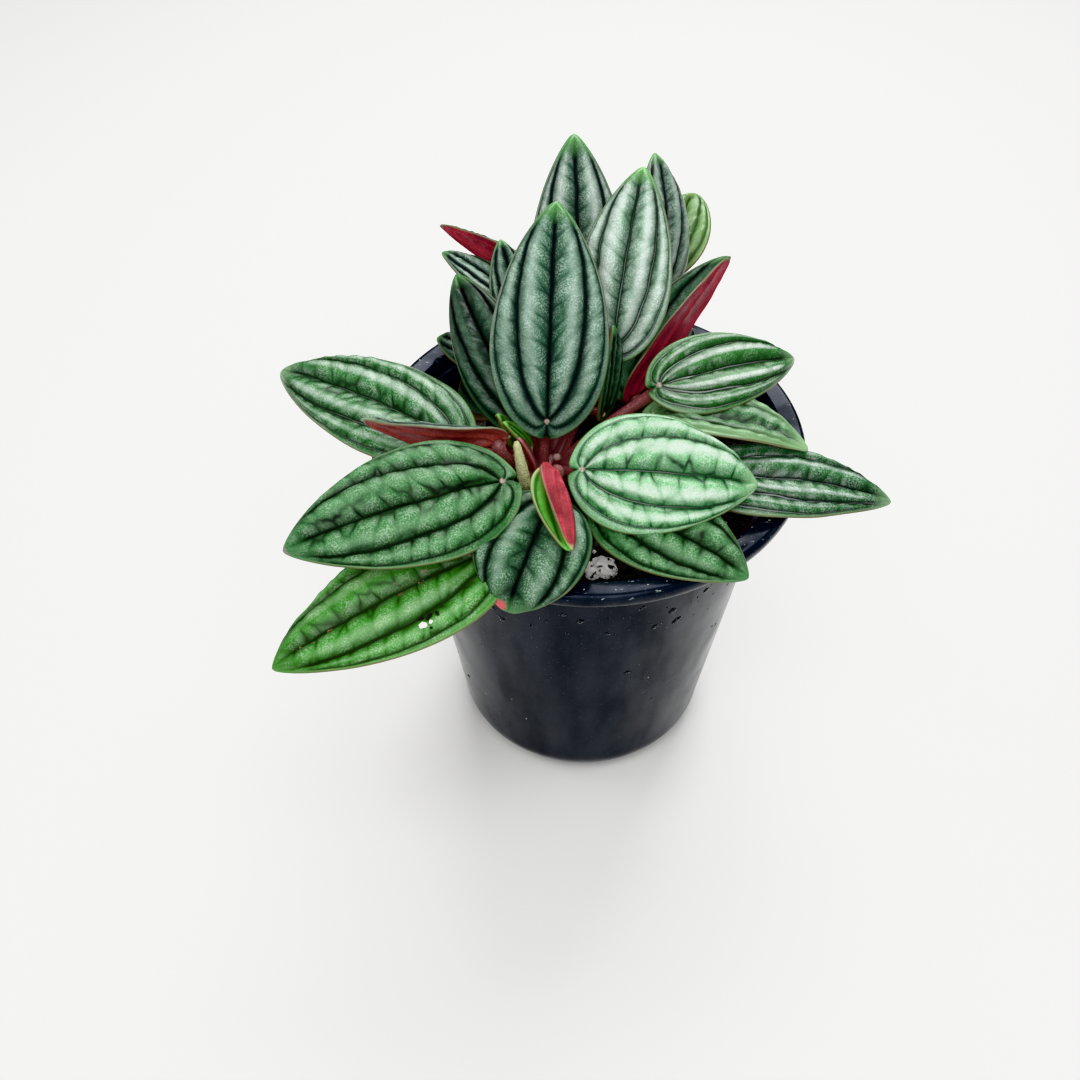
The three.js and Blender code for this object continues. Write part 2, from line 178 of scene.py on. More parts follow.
def lumpTree():  # small lumps strewn on a surface; the surface itself can be kept with them
    tree, add, given = newGeometryTree("strewnLumps", {
        "Density": "Float", "Seed": "Int", "Smallest": "Float", "Largest": "Float", "Upward": "Float",
        "Flat": "Float", "Rough": "Float", "Detail": "Int", "Keep surface": "Bool", "Skin": "Material",
        "Ground": "Material"})
    facing = add("SeparateXYZ", [add("GeometryNodeInputNormal")]).outputs["Z"]
    upward = add("FunctionNodeCompare", [facing, given["Upward"]],
                 data_type="FLOAT", operation="GREATER_THAN")
    spots = add("GeometryNodeDistributePointsOnFaces", {
        "Mesh": given["Geometry"], "Selection": upward, "Density": given["Density"], "Seed": given["Seed"]})
    ball = add("GeometryNodeMeshIcoSphere", {"Radius": 1, "Subdivisions": given["Detail"]})
    noise = add("TexNoise", {"Scale": 1.4, "Detail": 2})
    push = add("VectorMath", [noise.outputs["Color"], (0.5, 0.5, 0.5)], operation="SUBTRACT")
    dents = add("VectorMath", [push, given["Rough"]], operation="SCALE")
    shaped = add("GeometryNodeSetPosition", {"Geometry": ball, "Offset": dents})
    spin = add("FunctionNodeRandomValue", {
        0: (0, 0, 0), 1: (0, 0, 6.28), "Seed": given["Seed"]}, data_type="FLOAT_VECTOR")
    turn = add("FunctionNodeRotateRotation", [spots.outputs["Rotation"], spin], rotation_space="LOCAL")
    big = add("FunctionNodeRandomValue", {2: 0, 3: 1, "Seed": given["Seed"]}, data_type="FLOAT")
    few = add("Math", [big, 3], operation="POWER")
    size = add("MapRange", [few, 0, 1, given["Smallest"], given["Largest"]])
    low = add("CombineXYZ", [0.75, 0.75, given["Flat"]])
    high = add("CombineXYZ", [1.25, 1.25, given["Flat"]])
    squash = add("FunctionNodeRandomValue", {
        0: low, 1: high, "Seed": given["Seed"]}, data_type="FLOAT_VECTOR")
    scale = add("VectorMath", [squash, size], operation="SCALE")
    sown = add("GeometryNodeInstanceOnPoints", {
        "Points": spots, "Instance": shaped, "Rotation": turn, "Scale": scale})
    real = add("GeometryNodeRealizeInstances", [sown])
    dressed = add("GeometryNodeSetMaterial", {"Geometry": real, "Material": given["Skin"]})
    ground = add("GeometryNodeSetMaterial", {"Geometry": given["Geometry"], "Material": given["Ground"]})
    kept = add("GeometryNodeSwitch", {"Switch": given["Keep surface"], "True": ground}, input_type="GEOMETRY")
    joined = add("GeometryNodeJoinGeometry", [dressed])
    tree.links.new(kept.outputs[0], joined.inputs[0])
    add("NodeGroupOutput", [joined])
    return tree


# s holds the lumps per m2, their seed and sizes in mm; a ground material keeps the surface as well
def strewn(mesh, s, skin, ground=None):
    values = {
        "Density": s["density"], "Seed": s["seed"], "Smallest": s["smallest"] * mm,
        "Largest": s["largest"] * mm, "Upward": s.get("upward", -2.0), "Flat": s["flat"], "Rough": s["rough"],
        "Detail": s["detail"], "Keep surface": bool(ground), "Skin": skin, "Ground": ground or skin}
    return runTree(linked("strewnOn", mesh), strewnLumps, values)


strewnLumps = lumpTree()

stageSettings = {
    "camera": (0, -222.2, 283.5),  # mm
    "aim": (-8.7, -30.5, 82),
    "lens": 48.07,
    "sensor": 36,
    "floorHalf": 2000,
    "floorColour": "f4f4f2",
    "worldLight": 0.25,
    "lampAim": (0, 0, 80),
    # name, place, size, watts: wide softboxes above in front and behind, and a weak one at each side
    "lamps": [
        ("keyLight", (-20, -295, 485), 420, 2.25),
        ("skyLight", (40, 330, 450), 420, 2.7),
        ("rightLight", (430, 40, 230), 160, 0.12),
        ("leftLight", (-430, 60, 260), 160, 0.25),
        ("lowLight", (60, -420, 140), 200, 0.22),
    ],
}


def placeAimed(name, data, place, aim):
    made = linked(name, data)
    made.location = Vector(place) * mm
    made.rotation_euler = (Vector(aim) * mm - made.location).to_track_quat("-Z", "Y").to_euler()
    return made


def makeStage(s):
    camera = bpy.data.cameras.new("camera")
    camera.lens = s["lens"]
    camera.sensor_width = s["sensor"]
    camera.clip_start = 0.01
    scene.camera = placeAimed("camera", camera, s["camera"], s["aim"])
    scene.view_settings.view_transform = "Khronos PBR Neutral"

    world = bpy.data.worlds.new("studio")
    scene.world = world
    world.use_nodes = True
    background = world.node_tree.nodes["Background"]
    background.inputs["Color"].default_value = srgb("ffffff")
    background.inputs["Strength"].default_value = s["worldLight"]

    for name, place, size, watts in s["lamps"]:
        lamp = bpy.data.lights.new(name, "AREA")
        lamp.size = size * mm
        lamp.energy = watts
        placeAimed(name, lamp, place, s["lampAim"])

    half = s["floorHalf"] * mm
    corners = [(-half, -half, 0), (half, -half, 0), (half, half, 0), (-half, half, 0)]
    mesh = bpy.data.meshes.new("floor")
    mesh.from_pydata(corners, [], [(0, 1, 2, 3)])
    material, add = newMaterial("paintedBoard")  # matt pale board: even and soft
    finishMaterial(add, srgb(s["floorColour"]), {"Roughness": 0.9})
    mesh.materials.append(material)
    linked("floor", mesh)
    print("stage ready")


potSize = {  # mm
    "height": 82, "rimRadius": 45, "rimInner": 40.5, "lipHeight": 3.8,
    "wallTop": 39.6, "wallBase": 27.3, "wall": 1.1, "corner": 8, "ledge": 77,
    "notches": 6, "notchWidth": 16, "notchHeight": 3, "notchInner": 21, "notchTurn": -102,
    "sides": 192,
}


def outerRadius(z):
    return potSize["wallBase"] + (potSize["wallTop"] - potSize["wallBase"]) / potSize["height"] * z


def wallLine(inset, top, cornerSteps=10, wallSteps=8):  # the wall's line, round the bottom corner
    centre = potSize["corner"]
    radius = centre - inset
    line = []
    for step in range(cornerSteps + 1):
        angle = math.radians(-90 + 90 * step / cornerSteps)
        across = outerRadius(centre) - centre + radius * math.cos(angle)
        line.append((across, centre + radius * math.sin(angle)))
    start = line[-1]
    for step in range(1, wallSteps + 1):
        share = step / wallSteps
        across = start[0] + (outerRadius(top) - inset - start[0]) * share
        line.append((across, start[1] + (top - start[1]) * share))
    return line


def drainCutters(p):  # boxes that cut the drain notches out of the bottom corner
    work = bmesh.new()
    reach = p["rimRadius"] - p["notchInner"]
    for notch in range(p["notches"]):
        made = bmesh.ops.create_cube(work, size=1)["verts"]
        turn = math.radians(p["notchTurn"] + 360 * notch / p["notches"])
        bmesh.ops.scale(work, verts=made, vec=Vector((reach, p["notchWidth"], 2 * p["notchHeight"])) * mm)
        bmesh.ops.translate(work, verts=made, vec=Vector((p["notchInner"] + reach / 2, 0, 0)) * mm)
        bmesh.ops.transform(work, verts=made, matrix=Matrix.Rotation(turn, 4, "Z"))
    mesh = bpy.data.meshes.new("drainCutters")
    work.to_mesh(mesh)
    work.free()
    return linked("drainCutters", mesh)


def makePot():
    p = potSize
    height, rim, inner, ledge = p["height"], p["rimRadius"], p["rimInner"], p["ledge"]
    lip = height - p["lipHeight"]
    rimLine = [
        (outerRadius(lip) + 0.5, lip - 0.05), (rim - 1.5, lip), (rim - 0.8, lip + 0.25),
        (rim - 0.35, lip + 0.8), (rim - 0.1, lip + 1.6), (rim, height - 1.2),
        (rim - 0.12, height - 0.65), (rim - 0.45, height - 0.22),
        (rim - 1.0, height - 0.02), (rim - 1.6, height), (inner + 0.8, height - 0.05),
        (inner + 0.25, height - 0.2), (inner, height - 0.6), (inner - 0.3, ledge + 1.6),
        (inner - 0.7, ledge + 0.8), (outerRadius(ledge) - p["wall"] + 0.8, ledge + 0.3),
    ]
    outside = [(0, 0)] + wallLine(0, lip - 0.3)
    inside = wallLine(p["wall"], ledge)[::-1] + [(0, p["wall"])]
    body = linked("potBody", cleaned(turnedMesh("potBody", outside + rimLine + inside, p["sides"])))
    cutter = drainCutters(p)
    cut = body.modifiers.new("notches", "BOOLEAN")
    cut.operation = "DIFFERENCE"
    cut.solver = "EXACT"
    cut.object = cutter
    graph = bpy.context.evaluated_depsgraph_get()
    mesh = bpy.data.meshes.new_from_object(body.evaluated_get(graph), depsgraph=graph)
    bpy.data.objects.remove(body)
    bpy.data.objects.remove(cutter)
    mesh.materials.clear()
    finishPiece("nursery_pot", mesh, ["pot"], [potPlastic()])
    mesh.set_sharp_from_angle(angle=math.radians(40))
    print("pot ready")


def potPlastic():  # injection-moulded polypropylene, black with a blue cast: glossy, faintly dusty
    material, add = newMaterial("mouldedPolypropylene")
    place = add("TexCoord").outputs["Object"]
    cloud = add("TexNoise", [place, 1 / (14 * mm), 5])
    fine = add("TexNoise", [place, 1 / (0.5 * mm), 3])
    dust = (fine, 0.66, 0.74, 0, 1)
    # the rim is scuffed pale where pots are stacked and handled
    height = add("SeparateXYZ", [place]).outputs["Z"]
    onRim = (height, 79.5 * mm, 81.5 * mm, 0, 0.7)
    drawn = add("Mapping", {"Vector": place, "Scale": (0.35, 1, 1)})
    scratch = (add("TexNoise", [drawn, 1 / (0.7 * mm), 4, 0.7]), 0.63, 0.68, 0, 1)
    # dried splashes ran down the wall, so the sheen is patchy and drawn out downwards
    ran = add("Mapping", {"Vector": place, "Scale": (1, 1, 0.3)})
    film = add("TexNoise", [ran, 1 / (7 * mm), 4])
    waves = add("TexNoise", [place, 1 / (9 * mm), 2])
    layers = [([cloud], "171b24"), ([dust, cloud], "59616a"), ([onRim, scratch], "b9c4cb")]
    finishMaterial(add, painted(add, "0b0d13", layers), {
        "Roughness": add("MapRange", [cloud, 0.3, 0.7, 0.1, 0.28]), "IOR": 1.49,
        "Specular IOR Level": add("MapRange", [film, 0.36, 0.66, 0.15, 0.38]),
        "Specular Tint": srgb("ccd8f2")}, (waves, 0.25, 0.3))
    return material


strewnOnPot = [  # each on a band of the pot's wall or rim, given as [radius, height] points
    dict(name="pot_drops", line=[(outerRadius(60), 60), (outerRadius(77), 77)], density=9.0e4, seed=3,
         smallest=0.25, largest=1.1, flat=0.3, rough=0.4, detail=2),
    dict(name="pot_low_drops", line=[(outerRadius(14), 14), (outerRadius(60), 60)], density=4.0e3, seed=9,
         smallest=0.2, largest=0.8, flat=0.3, rough=0.4, detail=2),
    dict(name="pot_dust", line=[(outerRadius(10), 10), (outerRadius(77), 77)], density=6.0e3, seed=6,
         smallest=0.06, largest=0.2, flat=0.5, rough=0.4, detail=1),
    dict(name="rim_dust", line=[(44.8, 81), (43.6, 82), (41.4, 82)], density=1.0e5, seed=8,
         smallest=0.06, largest=0.28, flat=0.6, rough=0.4, detail=1),
]


def waterDrops():  # clean water, so the black plastic shows through
    material, add = newMaterial("waterDrops")
    finishMaterial(add, srgb("ffffff"), {"Roughness": 0.02, "IOR": 1.33, "Transmission Weight": 1})
    return material


def limeDust():  # dried lime and grit: chalky grey-white
    material, add = newMaterial("limeDust")
    tint = add("TexNoise", [add("TexCoord").outputs["Object"], 1 / (1.5 * mm)])
    finishMaterial(add, painted(add, "6a6660", [([tint], "dcd9d2")]), {"Roughness": 0.9})
    return material


def makeDropsAndDust():
    water, dust = waterDrops(), limeDust()
    for part in strewnOnPot:
        band = turnedMesh(part["name"], part["line"], 96)
        skin = water if "drops" in part["name"] else dust
        finishPiece(part["name"], strewn(band, part, skin), [])
    print("drops and dust ready")


bladeShape = {
    "lobe": 0.09, "shoulder": 1.6, "taper": 0.8, "spread": 0.07,
    "notch": 0.5,  # how deep the back edge dips towards the stalk, as a share of the lobe
    "thickness": 1.0,  # mm, in the middle of the blade
    "edge": 0.5,  # mm, at the margin
    "bulge": (0.23, 0.23, 0.2),  # how high the three bands between the veins arch, per width of the band
    "lean": (1.4, 1.25, 1.0),  # above 1 the arch's crest lies further out
    "ribWidth": (0.42, 0.38, 0.28),  # mm, half width of the rib under each vein
    # where across each band the silver lies, how wide, and how strongly: the leaf's own silver
    # with a painted highlight along the crests
    "crest": (0.68, 0.55, 0.45), "streak": (0.26, 0.3, 0.4), "shine": (1.0, 0.9, 0.7),
    "cell": (7.5, 4.0),  # mm, the net's cells: across and along
    "quilt": 0.62,  # mm, how far the cells puff up
    "wander": 0.12, "waves": 0.3,  # mm, how far the veins stray, and how uneven the blade is
    "turnedDown": 0.55, "rounded": 0.22,  # mm, at the margin
    "keel": 0.5, "ribs": 0.22,  # mm, how far the midrib and the side veins stand out below
    "fineWidth": 18,  # mm, narrower blades have a finer relief
    "columns": 100, "rows": 116,
    "smallColumns": 48, "smallRows": 60, "smallLength": 22,
}

# Where each blade's stalk joins it in mm, then the blade's line, size and bends, much as in the part;
# rise and hook shape its stalk, and tone is its kind below.
leafTable = [
    dict(name="leaf_01", at=(-8.5, -4, 89), heading=89, pitch=49, length=44, width=24, notch=0.15,
         tone="silver"),
    dict(name="leaf_02", at=(-2.5, 22, 88), heading=96, pitch=56, length=44, width=21, rise=0.1, hook=9,
         tone="grey"),
    dict(name="leaf_03", at=(4.5, 14.5, 93.5), heading=78, pitch=51, length=37.5, width=20, tone="shining"),
    dict(name="leaf_04", at=(15, 37.5, 93), heading=95, pitch=39, length=30, width=15, roll=35, crown="side",
         rise=0.6, tone="grey"),
    dict(name="leaf_05", at=(17, 50, 88), heading=74, pitch=22, length=22, width=17, roll=-15, fold=20,
         crown="side", rise=0.45, hook=7, tone="lime"),
    dict(name="leaf_06", at=(9, 14, 82), heading=56, pitch=21, length=39.5, width=21, roll=-24, fold=66,
         curl=-0.4, bow=-0.05, crown="side", tone="deep"),
    dict(name="leaf_07", at=(14, 3.5, 93), heading=22, pitch=-2, length=31, width=18, roll=22, hook=3,
         tone="glossy"),
    dict(name="leaf_08", at=(13, 1.5, 86.5), heading=-16, pitch=1, length=32.5, width=18, roll=-8, fold=26,
         tone="pale"),
    dict(name="leaf_09", at=(22, -14.5, 85), heading=0, pitch=-7, length=39.5, width=19, roll=6, tone="wet"),
    dict(name="leaf_10", at=(-1, -21, 92), heading=-2, pitch=-2, length=34, width=25, roll=26, tone="mint"),
    dict(name="leaf_11", at=(3.5, -23, 86), heading=-30, pitch=-6, length=32, width=20, roll=15,
         tone="green"),
    dict(name="leaf_12", at=(-6.5, -25.5, 88.3), heading=-107, pitch=-10, length=26.5, width=22, roll=-10,
         bow=0.1, taper=0.55, droop=1.6, tone="nicked"),
    dict(name="leaf_13", at=(-17, -37, 86), heading=-153, pitch=-15, length=47, width=25, roll=-8, bow=0.04,
         rise=0.1, hook=3, tone="bright"),
    dict(name="leaf_14", at=(-16, -27, 94), heading=-157, pitch=-4, length=43, width=25, roll=-20, rise=0.1,
         hook=12, tone="worn"),
    dict(name="leaf_15", at=(-18, -14.5, 94), heading=168, pitch=-2, length=27.5, width=17, roll=52, fold=18,
         bow=-0.1, hook=6, tone="rusty"),
    dict(name="leaf_16", at=(-27, -6, 85), heading=151, pitch=-2, length=46, width=23, roll=-14,
         tone="veined"),
    dict(name="leaf_17", at=(-13, 1, 84), heading=120, pitch=26, length=37, width=16, roll=-30, tone="dark"),
    dict(name="leaf_18", at=(-15.5, 24, 90), heading=108, pitch=39, length=20.5, width=10, tone="silver"),
    dict(name="leaf_19", at=(-11, 40, 93), heading=149, pitch=6, length=28, width=11, roll=70, bow=-0.03,
         rise=0.1, tone="deep"),
    dict(name="leaf_20", at=(-15.5, 31.5, 90), heading=142, pitch=11, length=24, width=12, roll=10,
         tone="silver"),
    dict(name="leaf_21", at=(-19.5, 19.5, 84), heading=155, pitch=7, length=16, width=12, rise=0.6,
         tone="dark"),
    dict(name="leaf_22", at=(-19, 13, 77), heading=126, pitch=4, length=14.5, width=14, roll=-20, rise=0.1,
         hook=2.5, tone="scarred"),
    dict(name="leaf_23", at=(3, 2, 86), heading=81, pitch=55, length=18.5, width=8, roll=70, tone="deep"),
    dict(name="leaf_24", at=(16, 22, 83), heading=62, pitch=9, length=13, width=8, crown="side",
         tone="silver"),
    dict(name="leaf_25", at=(-5, 28, 84), heading=97, pitch=-4, length=36, width=18, crown="side",
         tone="deep"),
    dict(name="young_1", at=(-6.6, -26, 96), heading=-77, pitch=-14, length=17, width=12, roll=62, fold=73,
         curl=-0.4, bow=-0.1, rise=0.1, hook=2, tone="coral"),
    dict(name="young_2", at=(-15.5, -3.5, 82), heading=172, pitch=70, length=8.5, width=4, tone="young"),
    dict(name="young_3", at=(-11.5, -5.5, 83), heading=180, pitch=52, length=9, width=4.5, tone="young"),
    dict(name="young_4", at=(-16.5, 3.5, 79), heading=133, pitch=31, length=13.5, width=6, roll=60,
         tone="young"),
    dict(name="bract", at=(-10, -14, 84), heading=154, pitch=64, length=9, width=4, roll=40, tone="bract"),
]

# The colours of each kind of blade: deep in the folds and fresh on the ridges, partly painted shade and light
# that follow the relief; silver on their crests, the leaf's own silver with a painted highlight; then the
# grooves, deepened by painted shade, the rim, the back and the tip (else the rim's). Much is how strong the
# silver is, crest from what height it lies, and sparkle how much of it flecks the rest as painted glints.
# Then how dark the net is, the main veins' half width in mm, how pale their middle line is (a painted
# highlight), the slant of the cross veins, the roughness (gloss), the coat, the margin's width in mm (edge)
# and how far the cells puff up. What a kind leaves out is as usual.
usualTone = dict(
    back="7e3532", crest=0.3, line=0.05, slant=0.5, coat=0.25, edge=0.4, puff=1.0, slot="leaf_bright")
leafTones = {
    "silver": dict(deep="293a34", fresh="427254", silver="b2c8ba", groove="16161a", rim="84a886",
        back="8a3440", tip="5e9a54", much=0.6, crest=0.1, sparkle=0.5, net=0.5, vein=0.95, line=0.0,
        slant=0.7, gloss=0.38, puff=0.5, slot="leaf_silver"),
    "grey": dict(deep="30403b", fresh="567f64", silver="d6e0da", groove="1a1b1d", rim="8aac8a",
        back="9a3a48", tip="5e9a54", much=0.66, crest=0.1, sparkle=0.35, net=0.45, vein=0.8, slant=0.7,
        gloss=0.36, puff=0.5, slot="leaf_silver"),
    "shining": dict(deep="2d4a34", fresh="6c9e7a", silver="eaf3ee", groove="1a211d", rim="84b082",
        back="8a3440", tip="6fae60", much=0.82, crest=-0.2, sparkle=0.35, net=0.4, vein=0.6, line=0.4,
        slant=0.7, gloss=0.3, puff=0.6, slot="leaf_silver"),
    "glossy": dict(deep="233c22", fresh="3c7a3c", silver="f0f6f2", groove="161e14", rim="84ab7c", much=0.95,
        crest=0.7, sparkle=0.1, net=0.35, vein=0.45, line=0.6, slant=0.25, gloss=0.24, puff=0.7),
    "veined": dict(deep="264228", fresh="3c7a40", silver="e0ece2", groove="161e14", rim="84ab7c", much=0.62,
        crest=0.6, sparkle=0.22, net=0.8, vein=0.5, line=0.35, gloss=0.3, puff=0.75),
    "wet": dict(deep="1e3022", fresh="36703e", silver="e2ebe8", groove="131414", rim="7ea478", much=0.6,
        crest=0.8, sparkle=0.22, net=0.6, vein=0.55, line=0.7, slant=0.4, gloss=0.26, coat=0.2, puff=0.65),
    "mint": dict(deep="386a40", fresh="70b478", silver="f8fbf8", groove="1e3324", rim="96c490", much=0.74,
        crest=0.42, sparkle=0.25, net=0.95, vein=0.45, line=0.3, slant=0.15, gloss=0.26),
    "green": dict(deep="233422", fresh="3b7540", silver="a8cca6", groove="181d17", rim="7eaa76",
        tip="4c8450", much=0.2, crest=0.5, sparkle=0.36, net=0.95, vein=0.6, line=0.0, slant=0.35, gloss=0.42,
        coat=0.06, puff=1.05),
    # its wide pale margin (edge) is partly painted light, where the folded-down half catches the light
    "pale": dict(deep="2b422b", fresh="386e40", silver="b4d4b0", groove="181d17", rim="92bc88",
        back="8a3440", much=0.3, crest=0.5, sparkle=0.3, net=0.8, vein=0.6, line=0.0, slant=0.35, gloss=0.34,
        edge=4.5, puff=0.8),
    "bright": dict(deep="234217", fresh="3f8f2f", silver="cfe6c4", groove="1a2912", rim="78ac64",
        tip="4a8c38", much=0.3, crest=0.6, sparkle=0.22, net=0.8, vein=0.55, line=0.0, slant=0.35, gloss=0.38,
        coat=0.08, puff=0.75, scars=0.9),
    "deep": dict(deep="222f28", fresh="386340", silver="9ab8a2", groove="141114", rim="608a64",
        back="b03c4e", tip="4c8048", much=0.35, crest=0.4, sparkle=0.42, net=0.6, vein=0.85, gloss=0.4,
        coat=0.12, slot="leaf_deep"),
    # a darker copy of the deep kind: painted shade for the blades that lie in shadow
    "dark": dict(deep="1a241f", fresh="22402c", silver="86a690", groove="120d11", rim="54805a",
        back="a03848", tip="4f8446", much=0.3, crest=0.4, sparkle=0.18, net=0.5, vein=0.75, slant=0.6,
        gloss=0.42, coat=0.1, slot="leaf_deep"),
    "scarred": dict(deep="26352e", fresh="2f523a", silver="8fb09a", groove="151115", rim="9b7a62",
        back="7c2a36", much=0.25, crest=0.4, sparkle=0.12, net=0.5, vein=0.8, gloss=0.42, edge=1.2, scars=0.9,
        slot="leaf_deep"),
    "rusty": dict(deep="30403b", fresh="608a6e", silver="d2ded7", groove="1a1b1d", rim="8aac8a",
        back="9c5450", much=0.7, crest=0.2, sparkle=0.2, net=0.5, vein=0.7, gloss=0.4, slot="leaf_silver"),
    "lime": dict(deep="527042", fresh="709e5a", silver="d0e0c2", groove="38532e", rim="9cc080",
        back="a83e4c", much=0.4, sparkle=0.1, net=0.35, vein=0.5, line=0.1, gloss=0.33, slot="leaf_lime"),
    "young": dict(deep="325e26", fresh="62b244", silver="cce6b6", groove="1e3918", rim="8cc66c",
        back="6a6a3a", much=0.3, sparkle=0.05, net=0.4, vein=0.6, line=0.1, gloss=0.32, slot="leaf_lime"),
    "coral": dict(deep="2e5e20", fresh="5cac3e", silver="c6e6a6", groove="224116", rim="b8c08c",
        back="c24a58", tip="6ab850", much=0.25, sparkle=0.05, net=0.4, vein=0.6, line=0.1, gloss=0.32,
        flush=0.13, slot="leaf_coral"),
    "bract": dict(deep="76363a", fresh="a06658", silver="d0a898", groove="511d28", rim="a8707a",
        back="7c343a", much=0.3, sparkle=0.05, net=0.2, vein=0.7, line=0.0, gloss=0.45, slot="leaf_maroon"),
}
leafTones["worn"] = dict(leafTones["green"], dry="8a857c")  # its very tip has dried out
leafTones["nicked"] = dict(leafTones["deep"], nick=(-15.7, -47.6, 82.4))  # a healed coral nick in the margin
leafTones = {name: {**usualTone, **tone} for name, tone in leafTones.items()}


def leafFrame(leaf):
    heading, pitch, roll = (math.radians(leaf.get(k, 0)) for k in ("heading", "pitch", "roll"))
    flat = math.cos(pitch)
    along = Vector((flat * math.cos(heading), flat * math.sin(heading), math.sin(pitch)))
    level = Vector((-math.sin(heading), math.cos(heading), 0))
    up = along.cross(level)
    left = level * math.cos(roll) + up * math.sin(roll)
    normal = up * math.cos(roll) - level * math.sin(roll)
    return np.array(leaf["at"], float), np.array(along), np.array(left), np.array(normal)


def flatPoints(leaf, fan, t):
    s = bladeShape
    reach = leaf["length"] * s["lobe"]
    taper = leaf.get("taper", s["taper"])
    peak = 1 / (1 + taper)
    fullness = t * (1 - t) ** taper / (peak * (1 - peak) ** taper)
    dip = leaf.get("notch", s["notch"]) * np.exp(-t / 0.012)
    margin = -reach * (1 - dip) + (leaf["length"] + reach) * t ** s["shoulder"]
    middle = leaf["length"] * t ** 1.3
    return fan * fullness * leaf["width"] / 2, (1 - fan ** 2) * middle + fan ** 2 * margin


def veinPlaces(t):  # where the midrib, the side veins and the margin run, as shares of the half width
    side = (0.53 + 0.3 * t ** 4) * (1 - np.exp(-t / 0.07))
    outer = (0.84 + 0.13 * t) * (1 - np.exp(-t / 0.03))
    return [np.zeros_like(t), side, outer, np.ones_like(t)]


def bent(leaf, x, y):  # the flat blade bent to its living shape, in its own axes
    turn = math.radians(leaf.get("curl", -1.6))
    start = math.radians(leaf.get("fold", 8))
    end = start + turn * np.abs(x)
    side = np.sign(x) * (np.sin(end) - math.sin(start)) / turn
    rise = (math.cos(start) - np.cos(end)) / turn
    share = y / leaf["length"]
    arch = 4 * share * (1 - share) * leaf["length"]
    droop = leaf.get("droop", 0) * np.maximum(share - 0.7, 0) ** 2 * leaf["length"]  # a tip that curls under
    return np.stack([side, y - 0.5 * droop, rise + arch * leaf.get("bow", 0.06) - droop], axis=-1)


def bentNormal(leaf, x, y, step=0.05):
    across = bent(leaf, x + step, y) - bent(leaf, x - step, y)
    ahead = bent(leaf, x, y + step) - bent(leaf, x, y - step)
    normal = np.cross(across, ahead)
    return normal / np.linalg.norm(normal, axis=-1, keepdims=True)


def smooth(value):
    value = np.clip(value, 0, 1)
    return value * value * (3 - 2 * value)


